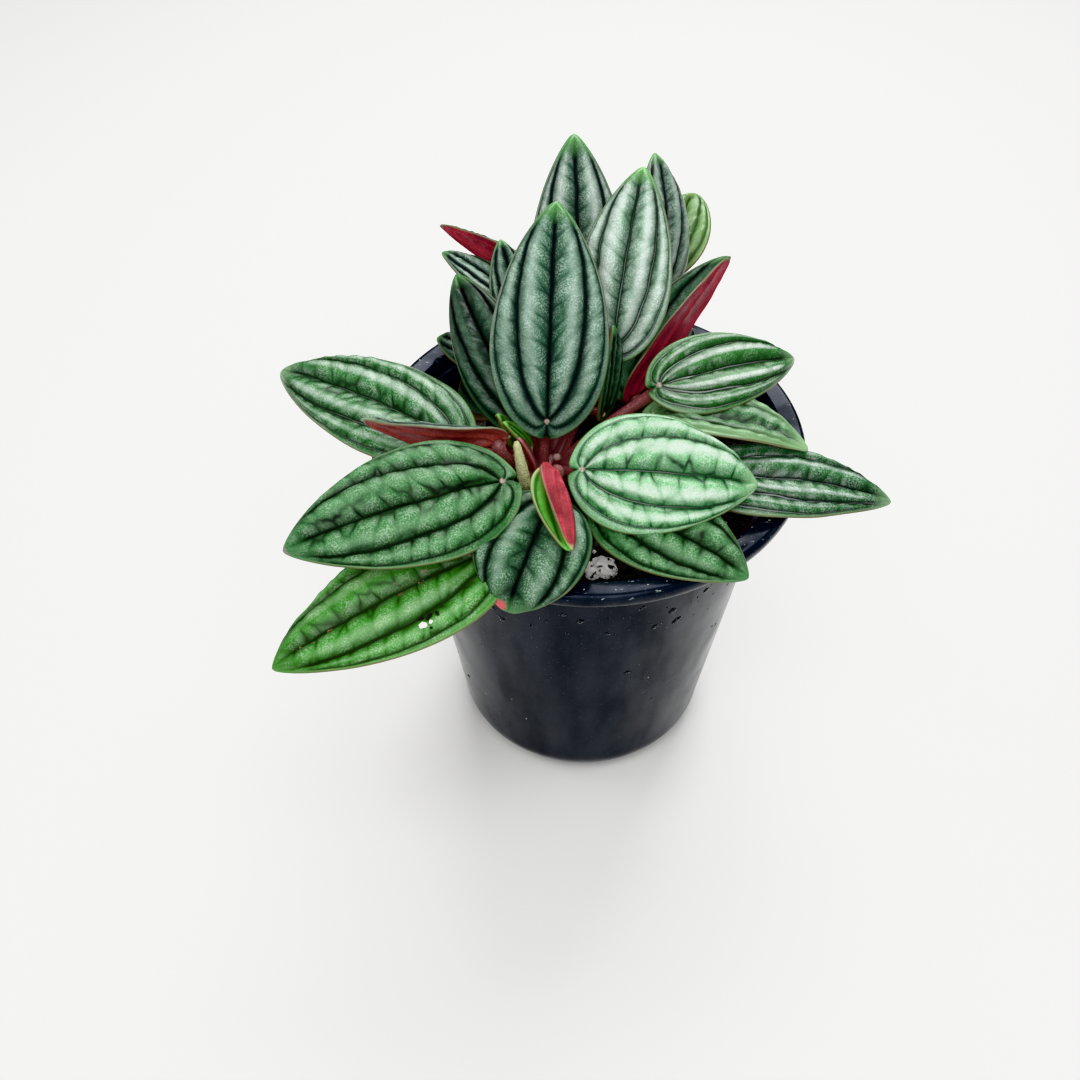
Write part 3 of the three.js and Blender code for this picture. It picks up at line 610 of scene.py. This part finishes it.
def bladeMesh(leaf, seed):
    s = bladeShape
    small = leaf["length"] < s["smallLength"]
    columns, rows = (s["smallColumns"], s["smallRows"]) if small else (s["columns"], s["rows"])
    q, t = np.meshgrid(np.linspace(-1, 1, columns + 1), np.linspace(0, 1, rows + 1))
    t = t - 0.5 * np.sin(2 * math.pi * t) / (2 * math.pi)  # closer rows at the base and the tip
    spread = np.exp(-t / s["spread"])
    fan = q * (1 - (1 - q ** 4) * spread)
    x, y = flatPoints(leaf, fan, t)
    width, length = leaf["width"], leaf["length"]
    scale = min(1, width / s["fineWidth"])
    calm = math.cos(math.radians(leaf.get("fold", 8)))  # folded blades have a lower relief

    half = np.abs(flatPoints(leaf, np.ones_like(t), t)[0])
    lobe = length * s["lobe"] * spread
    size = np.abs(fan)

    def apart(share, reach):  # mm from the line at this share of the half width, minus inside it
        return np.sign(size - share) * np.hypot((size - share) * half, (size ** 2 - share ** 2) * reach)

    places = veinPlaces(t)
    ends = smooth(t / 0.12) * smooth((1 - t) / 0.12)
    wander = s["wander"] * ripple(seed + 40, x, y, 7) * ends
    # the midrib's fold runs on behind the stalk
    gaps = [np.sign(q) * apart(places[0], lobe * smooth(y + 1.2)) + wander,
            apart(places[1], lobe) + wander, apart(places[2], lobe) + wander]
    main, ridge, height, band, shine = (np.zeros_like(t) for _ in range(5))
    for k in range(3):
        main = np.maximum(main, np.exp(-(gaps[k] / (s["ribWidth"][k] * scale)) ** 2))
        span = np.maximum(places[k + 1] - places[k], 1e-6)
        u = np.clip((size - places[k]) / span, 0, 1)
        inside = (size >= places[k]) & (size <= places[k + 1])
        lean = u ** s["lean"][k]
        arch = (4 * lean * (1 - lean)) ** 0.6
        ridge = np.where(inside, arch, ridge)
        streak = s["shine"][k] * np.exp(-((u - s["crest"][k]) / s["streak"][k]) ** 2)
        shine = np.where(inside, streak * smooth(t / 0.08) * smooth((1 - t) / 0.15), shine)
        height = np.where(inside, arch * s["bulge"][k] * span * (half + lobe), height)
        band = np.where(inside, k + 1, band)
    toMargin = -apart(np.ones_like(t), lobe)
    height = height - 0.35 * np.exp(-(x / 0.4) ** 2) * smooth(-y) * scale
    height = height + s["waves"] * ripple(seed, x, y, 12) * ends * scale
    height = height - s["turnedDown"] * scale * np.exp(-(toMargin / 0.9) ** 2)
    height = height * calm

    normal = bentNormal(leaf, x, y)
    upper = bent(leaf, x, y) + normal * height[..., None]
    thick = s["edge"] + (s["thickness"] - s["edge"]) * smooth(toMargin / (0.12 * width))
    keel = s["keel"] * scale * np.exp(-(x / (0.05 * width)) ** 2) * (1 - t) * smooth(t / 0.1)
    ribs = s["ribs"] * scale * main * ends
    lower = upper - normal * (thick + keel + ribs)[..., None]

    at, along, left, up = leafFrame(leaf)

    def placed(p):
        return (at - left * p[..., 0:1] + along * p[..., 1:2] + up * p[..., 2:3]) * mm

    lift = placed(normal) - at * mm
    lift = lift / np.linalg.norm(lift, axis=-1, keepdims=True)
    cellX, cellY = s["cell"]
    slant = leafTones[leaf["tone"]]["slant"]
    puff = ridge ** 0.6 * ends * np.where(band < 3, 1, 0.2) * calm * (1 - 0.55 * smooth(shine))
    netWeight = ends * (1 - 0.75 * smooth(shine)) * np.where(band < 3, 1, 0.3)
    side = band * 13.7 + np.sign(x) * 7.3  # sets each band on its own stretch of the net
    netX = x / (cellX * scale) + side + seed * 3.1
    netY = (y - slant * np.abs(x)) / (cellY * scale) + side
    fields = {
        "gaps": np.stack(gaps, axis=-1),
        "zones": np.stack([toMargin, np.hypot(x, y), t], axis=-1),
        "quilt": np.stack([netX, netY, np.zeros_like(x)], axis=-1),
        "lift": lift,
        "relief": np.stack([puff, netWeight, ridge * smooth((1 - t) / 0.12)], axis=-1),
        "shine": shine,
    }

    grid = np.arange((rows + 1) * (columns + 1)).reshape(rows + 1, columns + 1)
    count = grid.size
    top = np.stack([grid[:-1, :-1], grid[:-1, 1:], grid[1:, 1:], grid[1:, :-1]], axis=-1).reshape(-1, 4)
    points = [placed(upper).reshape(-1, 3), placed(lower).reshape(-1, 3)]
    faces = [top, top[:, ::-1] + count]
    for number, (edge, outward) in enumerate([(0, -1), (columns, 1)]):  # a rounded rim along each margin
        middle = (upper[:, edge] + lower[:, edge]) / 2 + s["rounded"] * scale * np.array([outward, 0, 0])
        points.append(placed(middle))
        ring = 2 * count + number * (rows + 1) + np.arange(rows + 1)
        for first, second in ((grid[:, edge], ring), (ring, grid[:, edge] + count)):
            strip = np.stack([first[:-1], second[:-1], second[1:], first[1:]], axis=-1)
            faces.append(strip[:, ::-1] if outward < 0 else strip)
    mesh = bpy.data.meshes.new(leaf["name"])
    mesh.from_pydata(np.concatenate(points).tolist(), [], np.concatenate(faces).tolist())

    for name, field in fields.items():
        flat = field.reshape(count, -1)
        whole = np.concatenate([flat, flat, flat[grid[:, 0]], flat[grid[:, columns]]])
        kind, item = ("FLOAT_VECTOR", "vector") if whole.shape[1] == 3 else ("FLOAT", "value")
        mesh.attributes.new(name, kind, "POINT").data.foreach_set(item, whole.astype(np.float32).ravel())
    under = np.concatenate([np.zeros(count), np.ones(count), np.full(2 * (rows + 1), 0.5)])
    mesh.attributes.new("under", "FLOAT", "POINT").data.foreach_set("value", under.astype(np.float32))
    return cleaned(mesh, 2e-6)


def netDistance(add, cells):  # distance from the nearest line of the net, in cells
    bend = add("TexNoise", {"Vector": cells, "Scale": 1.6, "Detail": 1})
    shift = add("VectorMath", [bend.outputs["Color"], (0.35, 0.5, 0), cells], operation="MULTIPLY_ADD")
    return add("TexVoronoi", {"Vector": shift, "Scale": 1, "Randomness": 0.85},
               voronoi_dimensions="2D", feature="DISTANCE_TO_EDGE")


def quiltTree():  # puffs up the cells of the net between the main veins, alike on both faces
    tree, add, given = newGeometryTree("netOfVeins", {"Quilt height": "Float", "Skin": "Material"})
    cells, lift, relief = (add("GeometryNodeInputNamedAttribute", [name], data_type="FLOAT_VECTOR")
                           for name in ("quilt", "lift", "relief"))
    pillow = add("MapRange", [netDistance(add, cells), 0, 0.42, 0, given["Quilt height"]],
                 interpolation_type="SMOOTHSTEP")
    height = add("Math", [pillow, add("SeparateXYZ", [relief]).outputs["X"]], operation="MULTIPLY")
    offset = add("VectorMath", [lift, height], operation="SCALE")
    moved = add("GeometryNodeSetPosition", {"Geometry": given["Geometry"], "Offset": offset})
    real = add("GeometryNodeRealizeInstances", [moved])
    add("NodeGroupOutput", [add("GeometryNodeSetMaterial", {"Geometry": real, "Material": given["Skin"]})])
    return tree


def leafSkin(name, tone):  # living leaf: waxy, finely grained; silvered by air under the skin and by painted highlights
    material, add = newMaterial("leafSkin_" + name)
    place = add("TexCoord").outputs["Object"]
    stored = {label: add("Attribute", attribute_name=label).outputs
              for label in ("gaps", "zones", "relief", "quilt", "shine", "under")}
    gaps = add("SeparateXYZ", [stored["gaps"]["Vector"]]).outputs
    inward, fromStalk, along = add("SeparateXYZ", [stored["zones"]["Vector"]]).outputs
    _, netWeight, ridge = add("SeparateXYZ", [stored["relief"]["Vector"]]).outputs
    toNet = netDistance(add, stored["quilt"]["Vector"])

    def nearVein(widths, strengths):
        most = 0
        for gap, width, strength in zip(gaps, widths, strengths):
            away = add("Math", [gap], operation="ABSOLUTE")
            near = add("MapRange", [away, 0, width, strength, 0], interpolation_type="SMOOTHSTEP")
            most = add("Math", [most, near], operation="MAXIMUM")
        return add("Math", [most, add("MapRange", [along, 0.9, 0.98, 1, 0])], operation="MULTIPLY")

    wide = tone["vein"]
    groove = nearVein([wide, 0.9 * wide, 0.6 * wide], [1, 0.95, 0.75])
    flankShade = nearVein([2.6, 2.2, 1.2], [0.6, 0.5, 0.3])
    line = nearVein([0.15, 0.15, 0.11], [1, 0.9, 0.7])
    patches = add("TexNoise", [place, 1 / (3.6 * mm), 4])
    # the skin's cells, drawn coarser than the real 0.1 mm so that they show
    grain = add("TexNoise", [place, 1 / (0.32 * mm), 2])
    fleck = add("MapRange", [grain, 0.46, 0.62, 0, 1])
    # how clearly the net is drawn, the shadow along its lines, and the silver left between them
    drawn = add("Math", [netWeight, add("MapRange", [patches, 0.35, 0.6, 1.1, 0.55])], operation="MULTIPLY")
    beside = add("MapRange", [toNet, 0, 0.2, 0.8 * tone["net"], 0])
    shadow = add("Math", [beside, drawn], operation="MULTIPLY")
    gone = add("MapRange", [toNet, 0.01, 0.14, -1.2 * tone["net"], 0])
    left = add("Math", [gone, drawn, 1], operation="MULTIPLY_ADD", use_clamp=True)
    layers = [
        # darker in the folds, lighter on the ridges: partly painted shade and light that follow the relief
        ([(ridge, 0.1, 0.9, 0.2, 1)], tone["fresh"]),
        # pale flecks on the raised cells: painted glints
        ([fleck, (toNet, 0.05, 0.35, 0.4, 1.5), tone["sparkle"]], tone["silver"]),
        # silver along the crests: the leaf's own silver with a painted highlight
        ([(stored["shine"]["Fac"], tone["crest"], 1, 0, 1), (patches, 0.38, 0.6, 0.65, 1),
          (fleck, 0, 1, 0.7, 1), left, tone["much"]], tone["silver"]),
        # painted shade beside the main veins, then the painted shadow along the net's lines
        ([flankShade], tone["deep"]),
        ([shadow], tone["deep"]),
        ([(toNet, 0.02, 0.08, tone["net"], 0), netWeight, drawn], tone["groove"]),
        # the main grooves: the veins' own dark colour, deepened with painted shade
        ([groove], tone["groove"]),
        # the pale middle line of the main veins: a painted highlight
        ([line, (along, 0.3, 0.8, 1, 0.2), (along, 0.05, 0.3, 0.3, 1), tone["line"]], tone["silver"]),
    ]
    if "scars" in tone:  # corky tan marks beside the midrib
        marks = add("TexNoise", [place, 1 / (2.4 * mm), 3, 0.7])
        layers.append(([(marks, 0.6, 0.64, 0, tone["scars"]), nearVein([2.4], [1])], "b08a72"))
    layers += [
        ([(inward, 0.1, tone["edge"], 0.75, 0)], tone["rim"]),
        ([(inward, 0, 0.1, 0.6, 0)], "6b5440"),
        ([(along, 0.91, 0.985, 0, 0.9)], tone.get("tip", tone["rim"])),
    ]
    if "dry" in tone:
        layers.append(([(along, 0.982, 0.99, 0, 1)], tone["dry"]))
    if "nick" in tone:
        away = add("VectorMath", [place, Vector(tone["nick"]) * mm], operation="DISTANCE")
        layers.append(([(away, 1.1 * mm, 1.8 * mm, 1, 0)], "c8555c"))
    if "flush" in tone:  # a young blade is still red towards its base
        slope = add("Math", [inward, -tone["flush"], along], operation="MULTIPLY_ADD")
        layers.append(([(slope, 0.06, 0.13, 1, 0)], tone["back"]))
    layers.append(([(fromStalk, 0.3, 0.7, 1, 0)], "c6b3a8"))
    upper = painted(add, tone["deep"], layers)
    # the back: wine red, mottled, with paler veins
    lower = painted(add, tone["back"], [
        ([(patches, 0.35, 0.7, 0, 0.6)], "4c1822"),
        ([fleck, 0.4], "42161c"),
        ([groove, 0.15], "b0655a"),
        ([(along, 0.96, 0.99, 0, 0.8)], tone["rim"]),
    ])
    side = add("MapRange", [stored["under"]["Fac"], 0.5, 0.9, 0, 1])
    # little light gets into the folds, so they hardly shine
    fold = add("Math", [groove, shadow], operation="MAXIMUM")
    finishMaterial(add, add("Mix", [side, upper, lower], data_type="RGBA"), {
        "Roughness": add("MapRange", [grain, 0.3, 0.7, tone["gloss"] - 0.06, tone["gloss"] + 0.12]),
        "IOR": 1.45, "Specular IOR Level": add("MapRange", [fold, 0, 0.8, 0.5, 0.1]),
        "Coat Weight": add("MapRange", [fold, 0, 0.8, tone["coat"], 0]), "Coat Roughness": 0.18,
        "Subsurface Weight": 0.05, "Subsurface Scale": 0.8 * mm}, (grain, 0.6, 0.1))
    return material


def makeLeaves():
    tree = quiltTree()
    skins = {name: leafSkin(name, tone) for name, tone in leafTones.items()}
    for number, leaf in enumerate(leafTable):
        tone = leafTones[leaf["tone"]]
        scale = min(1, leaf["width"] / bladeShape["fineWidth"])
        height = bladeShape["quilt"] * scale * tone["puff"] * mm
        blade = linked(leaf["name"] + "Raw", bladeMesh(leaf, number + 1))
        mesh = runTree(blade, tree, {"Quilt height": height, "Skin": skins[leaf["tone"]]})
        finishPiece("blade_" + leaf["name"], mesh, [leaf["name"]])
    print("leaves ready:", len(leafTable))


crownShape = {"radius": 3.15, "bottom": 58, "top": 76, "flare": 1.35}
crowns = {"main": (-8, -2), "side": (2, 24)}
stalkShape = {  # mm
    "radius": 1.15, "perWidth": 0.09, "thinnest": 0.6,
    "start": 2.5, "outward": 1.5,  # where it leaves the crown: how far below its top, and from its middle
    "hook": 7,  # over how much of its end it turns to the blade's own line
    "lowest": 74, "into": 0.35,  # it stays above the soil, and ends a little inside the blade
    "sides": 14, "steps": 28,
}
spike = dict(at=(-12, -18.5, 84), heading=118, pitch=63, length=10, radius=1.22, width=8)
cutStalk = dict(low=(-7, -4, 73), high=(-6.3, -5.6, 81), radii=(1.1, 0.75), flare=1.2)


def stalkLine(stem, point, arrival):  # four control points of a stalk, in mm, and its radius at both ends
    s = stalkShape
    arrival = Vector(arrival)
    tip = Vector(point)
    foot = Vector((*crowns[stem.get("crown", "main")], crownShape["top"] - s["start"]))
    lean = tip - foot
    lean.z = 0
    lean.normalize()
    reach = max((tip - foot).length, 8)
    foot = foot + lean * s["outward"]
    leave = foot + lean * 0.25 * reach + Vector((0, 0, stem.get("rise", 0.35) * reach))
    arrive = tip - arrival * min(stem.get("hook", s["hook"]), 0.4 * reach)
    arrive.z = max(arrive.z, s["lowest"])
    radius = min(max(s["perWidth"] * stem["width"], s["thinnest"]), s["radius"])
    return [foot, leave, arrive, tip + arrival * s["into"]], (radius, radius)


def straightLine(low, high, radii):
    low, high = Vector(low), Vector(high)
    return [low, low.lerp(high, 0.4), low.lerp(high, 0.7), high], radii


def stalkTree():
    tree, add, given = newGeometryTree("stalks", {
        "Steps": "Int", "Sides": "Int", "Flare": "Float", "Skin": "Material"})
    fine = add("GeometryNodeResampleCurve", {
        "Curve": given["Geometry"], "Count": given["Steps"]}, mode="COUNT")
    along = add("GeometryNodeSplineParameter")
    radius = add("GeometryNodeInputRadius")
    # a stalk is stoutest where it leaves the crown, and swells again under the blade
    foot = add("MapRange", [along, 0, 0.3, given["Flare"], 1], interpolation_type="SMOOTHSTEP")
    head = add("MapRange", [along, 0.8, 1, 0, 0.25], interpolation_type="SMOOTHSTEP")
    swell = add("Math", [foot, head], operation="ADD")
    rounded = add("Math", [swell, add("MapRange", [along, 0.97, 1, 1, 0.55])], operation="MULTIPLY")
    stout = add("Math", [rounded, radius], operation="MULTIPLY")
    sized = add("GeometryNodeSetCurveRadius", {"Curve": fine, "Radius": stout})
    marked = add("GeometryNodeStoreNamedAttribute", {"Geometry": sized, "Name": "along", "Value": along})
    ring = add("GeometryNodeCurvePrimitiveCircle", {"Resolution": given["Sides"], "Radius": 1})
    tube = add("GeometryNodeCurveToMesh", {
        "Curve": marked, "Profile Curve": ring, "Scale": radius, "Fill Caps": True})
    real = add("GeometryNodeRealizeInstances", [tube])
    add("NodeGroupOutput", [add("GeometryNodeSetMaterial", {"Geometry": real, "Material": given["Skin"]})])
    return tree


def stalkSkin(name, paleEnd):  # fleshy skin: smooth, dark wine red, finely flecked; pale where broken off
    material, add = newMaterial(name)
    place = add("TexCoord").outputs["Object"]
    mottle = add("TexNoise", [place, 1 / (2.2 * mm), 4])
    fleck = add("TexNoise", [place, 1 / (0.35 * mm), 2])
    along = add("Attribute", attribute_name="along").outputs["Fac"]
    layers = [
        ([mottle], "96605f"),
        ([(fleck, 0.52, 0.7, 0, 0.55)], "bc8f8a"),
        ([(along, 0, 0.3, 0.5, 0)], "331a1e"),
        ([(along, 0.94, 0.98, 0, paleEnd)], "b8a298"),
    ]
    finishMaterial(add, painted(add, "5e3038", layers), {"Roughness": 0.36, "IOR": 1.45}, (fleck, 0.4, 0.08))
    return material


def grownStalks(name, lines, flare, tree, skin):  # lines: four control points and two radii each, in mm
    curve = bpy.data.curves.new(name, "CURVE")
    curve.dimensions = "3D"
    for controls, radii in lines:
        foot, leave, arrive, end = (p * mm for p in controls)
        spline = curve.splines.new("BEZIER")
        spline.bezier_points.add(1)
        first, last = spline.bezier_points
        for point in (first, last):
            point.handle_left_type = point.handle_right_type = "FREE"
        first.co, last.co = foot, end
        first.handle_left, first.handle_right = foot * 2 - leave, leave
        last.handle_left, last.handle_right = arrive, end * 2 - arrive
        first.radius, last.radius = (r * mm for r in radii)
    return runTree(linked(name + "Raw", curve), tree, {
        "Steps": stalkShape["steps"], "Sides": stalkShape["sides"], "Flare": flare, "Skin": skin})


def makeCrowns():
    tree, skin = stalkTree(), stalkSkin("stalkSkin", 0)
    c = crownShape
    for name, place in crowns.items():
        lines = [straightLine((*place, c["bottom"]), (*place, c["top"]), (c["radius"], c["radius"]))]
        for leaf in leafTable:
            if leaf.get("crown", "main") == name:
                at, along, _, up = leafFrame(leaf)
                local = bentNormal(leaf, np.array(0.0), np.array(0.0))
                arrival = along * local[1] + up * local[2]
                lines.append(stalkLine(leaf, at - arrival * bladeShape["thickness"], arrival))
        if name == "main":
            lines.append(stalkLine(spike, spike["at"], leafFrame(spike)[1]))
        mesh = grownStalks(name, lines, c["flare"], tree, skin)
        finishPiece("stalks_" + name, mesh, ["crown_" + name])
    broken = straightLine(cutStalk["low"], cutStalk["high"], cutStalk["radii"])
    mesh = grownStalks("cut", [broken], cutStalk["flare"], tree, stalkSkin("brokenStalk", 0.45))
    finishPiece("cut_stalk", mesh, [])
    print("stalks ready")


spikeFlorets = dict(density=9.0e6, seed=4, smallest=0.1, largest=0.15, flat=0.9, rough=0.0, detail=1)


def makeSpike():
    s = spike
    outline = [(0.6, 0), (0.95, 0.08), (1, 0.3), (0.75, 0.7), (0.55, 0.93), (0.3, 0.99), (0, 1)]
    line = [(0, 0)]
    for (r0, z0), (r1, z1) in zip(outline, outline[1:]):
        for step in range(6):
            share = step / 6
            line.append(((r0 + (r1 - r0) * share) * s["radius"], (z0 + (z1 - z0) * share) * s["length"]))
    mesh = cleaned(turnedMesh("spike", line + [(0, s["length"])], 28))
    tilt = Matrix.Rotation(math.radians(90 - s["pitch"]), 4, "Y")
    turn = Matrix.Rotation(math.radians(s["heading"]), 4, "Z")
    mesh.transform(Matrix.Translation(Vector(s["at"]) * mm) @ turn @ tilt)
    skin = florets()
    finishPiece("spike_florets", strewn(mesh, spikeFlorets, skin, skin), ["flower_spike"])
    print("flower spike ready")


def florets():  # packed tiny florets: pale yellow-green, waxy, with painted shade in gaps that close towards the tip
    material, add = newMaterial("packedFlorets")
    place = add("TexCoord").outputs["Object"]
    cells = add("TexNoise", [place, 1 / (0.8 * mm), 2])
    gaps = add("TexVoronoi", {"Vector": place, "Scale": 1 / (0.3 * mm)})
    # painted shade in the gaps between the florets, fading out towards the tip
    dark = (gaps, 0.3, 0.46, 0.85, 0)
    low = (add("SeparateXYZ", [place]).outputs["Z"], 86 * mm, 92 * mm, 1, 0.1)
    layers = [([cells], "e6e8bc"), ([dark, low], "3c4a2c")]
    finishMaterial(add, painted(add, "a6ae72", layers), {"Roughness": 0.45, "IOR": 1.45})
    return material


soilShape = {
    "top": 72, "gap": 0.3, "lump": 0.6, "rings": 48, "sides": 144,
    "specks": dict(
        density=2.0e4, seed=5, smallest=0.2, largest=0.7, upward=0.5, flat=0.8, rough=1.0, detail=2),
    "crumbs": dict(
        density=1.0e6, seed=11, smallest=0.25, largest=1.1, upward=0.5, flat=0.8, rough=1.0, detail=1),
}
grains = [
    dict(name="perlite_1", at=(3.5, -29, 72.8), size=(3.3, 2.4, 2.3), turn=20),
    dict(name="perlite_2", at=(27, -16, 72.4), size=(2, 1.6, 1.5), turn=70),
    dict(name="perlite_3", at=(-24, 14, 72.4), size=(1.8, 2.3, 1.5), turn=10),
    dict(name="perlite_4", at=(20, 24, 72.4), size=(2.2, 1.7, 1.6), turn=40),
]


def pottingSoil(name, dark, light):  # damp peat and fine bark: dark and crumbly, with wet glints
    material, add = newMaterial(name)
    place = add("TexCoord").outputs["Object"]
    crumb = add("TexNoise", [place, 1 / (1.1 * mm), 5])
    damp = add("TexNoise", [place, 1 / (4 * mm), 2])
    finishMaterial(add, painted(add, dark, [([crumb], light)]), {
        "Roughness": add("MapRange", [damp, 0.35, 0.65, 0.35, 0.9]), "IOR": 1.4}, (crumb, 0.9, 0.4))
    return material


def makeSoil(perliteSkin, crumbSkin):
    s = soilShape
    line = wallLine(potSize["wall"] + s["gap"], s["top"], 6, 6)
    rim = line[-1][0]
    surface = [(rim * ring / s["rings"], s["top"]) for ring in range(s["rings"] - 1, -1, -1)]
    mesh = cleaned(turnedMesh("soil", [(0, potSize["wall"] + s["gap"])] + line + surface, s["sides"]))
    for v in mesh.vertices:
        x, y, z = (c / mm for c in v.co)
        if z > s["top"] - 1 and math.hypot(x, y) < rim - 0.4:
            swell = math.sin(x * 0.31 + 1.2) * math.cos(y * 0.27) + 0.5 * math.sin(x * 0.7 - y * 0.6)
            v.co.z += (s["lump"] * swell + 0.35 * float(ripple(7, x, y, 3))) * mm
    specks = strewn(mesh.copy(), s["specks"], perliteSkin)
    finishPiece("perlite_specks", specks, [])
    mesh = strewn(mesh, s["crumbs"], crumbSkin, pottingSoil("peatSoil", "080808", "1a1816"))
    finishPiece("potting_soil", mesh, ["soil"])
    print("soil ready")


def perlite():  # expanded volcanic glass: chalk white, pitted, with soil in its pits
    material, add = newMaterial("expandedPerlite")
    pits = add("TexNoise", [add("TexCoord").outputs["Object"], 1 / (1.5 * mm), 4])
    colour = painted(add, "fbfaf6", [([(pits, 0.54, 0.6, 0, 1)], "1c1817")])
    finishMaterial(add, colour, {"Roughness": 0.85}, (pits, 0.8, 0.3))
    return material


def lump(grain, number):  # a pitted grain as a mesh
    work = bmesh.new()
    bmesh.ops.create_icosphere(work, subdivisions=grain.get("detail", 5), radius=1)
    turn = Matrix.Rotation(math.radians(grain["turn"]), 4, "Z")
    place = Matrix.Translation(Vector(grain["at"]) * mm) @ turn
    for v in work.verts:
        p = v.co.copy()
        swell = 1 + 0.1 * math.sin(5 * p.x + 2 * p.z) + 0.08 * math.cos(6 * p.y - 3 * p.x)
        pit = 0.07 * float(ripple(number, p.x + p.z, p.y - p.z, 0.35))
        v.co = place @ Vector([c * size * (swell + pit) * mm for c, size in zip(p, grain["size"])])
    mesh = bpy.data.meshes.new(grain["name"])
    work.to_mesh(mesh)
    work.free()
    return mesh


def makePerlite(material):
    for number, grain in enumerate(grains):
        mesh = lump(grain, number)
        finishPiece("grain_" + grain["name"], mesh, [grain["name"]], [material])
    print("perlite ready")


spilt = {  # soil and perlite that lie on a blade: x and y in mm, size, turn, and whether it is perlite
    "on": "leaf_13",
    "crumbs": [
        (-28.9, -53.6, (0.8, 0.6, 0.5), 30, True),
        (-27.6, -52.9, (0.45, 0.35, 0.3), 80, True),
        (-28.0, -51.6, (0.9, 0.4, 0.35), 70, False),
        (-29.4, -51.9, (0.5, 0.4, 0.3), 10, False),
        (-26.6, -51.2, (0.6, 0.35, 0.3), 120, False),
        (-27.4, -54.0, (0.3, 0.25, 0.2), 0, False),
    ],
}


def makeSpilt(perliteSkin, soilSkin):  # each crumb is let down onto the blade
    blade = bpy.data.objects["blade_" + spilt["on"]]
    for number, (x, y, size, turn, white) in enumerate(spilt["crumbs"]):
        name = f"spilt_{number + 1}"
        hit, place, *_ = blade.ray_cast(Vector((x, y, 120)) * mm, Vector((0, 0, -1)))
        assert hit, name
        crumb = dict(name=name, at=(x, y, place.z / mm + 0.5 * size[2]), size=size, turn=turn, detail=4)
        skin, slot = (perliteSkin, "perlite_grain") if white else (soilSkin, "potting_soil")
        finishPiece(name, lump(crumb, number + 20), [], [skin])
    print("spilt crumbs ready")


makeStage(stageSettings)
makePot()
makeDropsAndDust()
perliteSkin = perlite()
soilSkin = pottingSoil("barkCrumbs", "0c0b0a", "2a2623")
makeSoil(perliteSkin, soilSkin)
makePerlite(perliteSkin)
makeCrowns()
makeSpike()
makeLeaves()
makeSpilt(perliteSkin, soilSkin)
